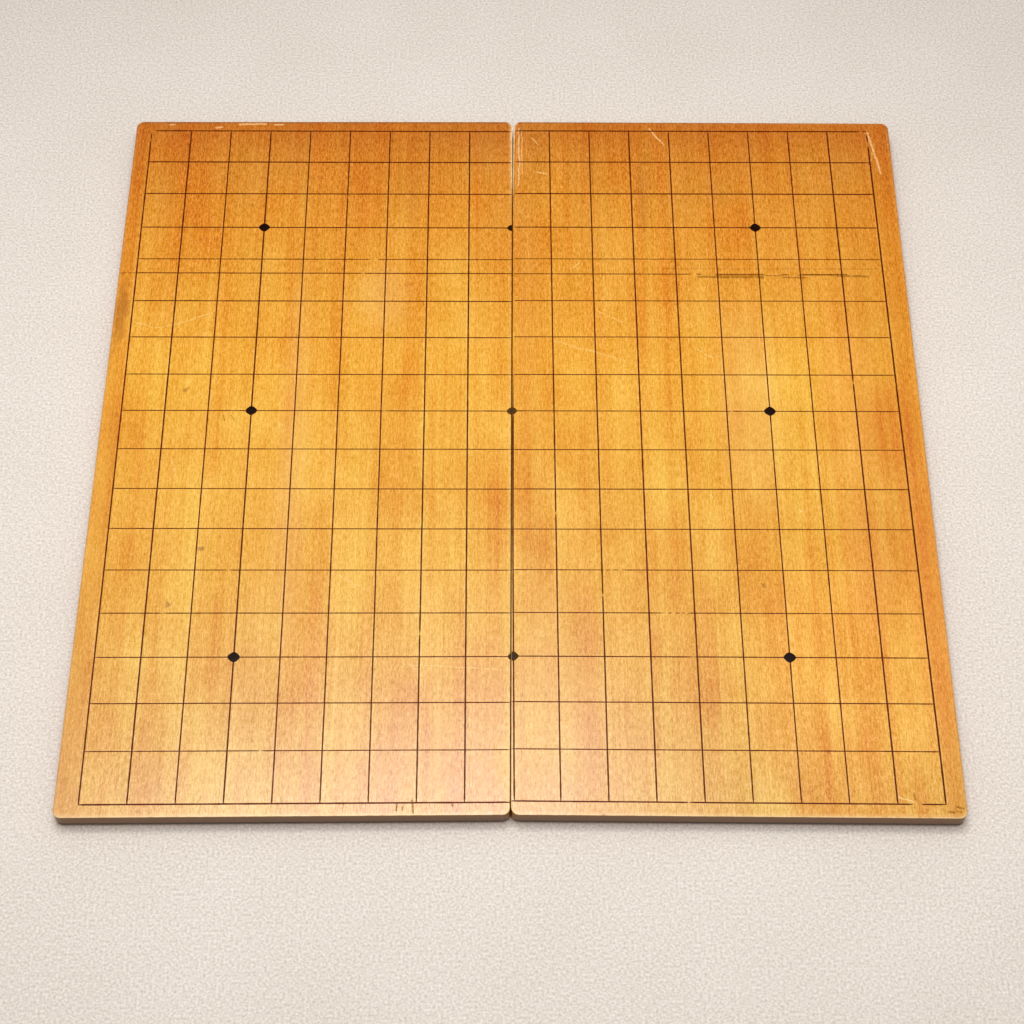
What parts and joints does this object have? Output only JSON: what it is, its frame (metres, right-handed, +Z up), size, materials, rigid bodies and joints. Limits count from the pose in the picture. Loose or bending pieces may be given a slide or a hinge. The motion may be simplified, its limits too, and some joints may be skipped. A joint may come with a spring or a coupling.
{
  "type": "folding go board",
  "caption": "Flat wooden go board in two leaves that fold on brass hinges under the seam, with a lacquered line grid, star points and felt feet.",
  "frame": {"origin": "on the table, under the middle of the seam and half way along it", "axes": "+X across the leaves to the right leaf, +Y along the seam away from the player, +Z up"},
  "size_m": [0.4264, 0.428, 0.0097],
  "materials": {
    "varnished_wood": "worn satin varnish",
    "line_lacquer": "worn lacquer",
    "star_lacquer": "worn lacquer",
    "hinge_brass": "dull brass",
    "pin_brass": "dull brass",
    "screw_brass": "dull brass",
    "foot_felt": "felt"
  },
  "bodies": {
    "left_half": {"left_leaf": "varnished_wood", "left_grid_lines": "line_lacquer", "left_star_points": "star_lacquer", "left_near_foot": "foot_felt", "left_far_foot": "foot_felt", "near_hinge_left_plate": "hinge_brass", "near_hinge_left_screws": "screw_brass", "near_hinge_pin": "pin_brass", "far_hinge_left_plate": "hinge_brass", "far_hinge_left_screws": "screw_brass", "far_hinge_pin": "pin_brass"},
    "right_half": {"right_leaf": "varnished_wood", "right_grid_lines": "line_lacquer", "right_star_points": "star_lacquer", "right_near_foot": "foot_felt", "right_far_foot": "foot_felt", "near_hinge_right_plate": "hinge_brass", "near_hinge_right_screws": "screw_brass", "far_hinge_right_plate": "hinge_brass", "far_hinge_right_screws": "screw_brass"}
  },
  "joints": [
    {"name": "fold", "type": "hinge", "parent": "left_half", "child": "right_half", "pos_m": [0, 0, 0.00135], "axis": [0, 1, 0], "range_deg": [0, 179]}
  ]
}
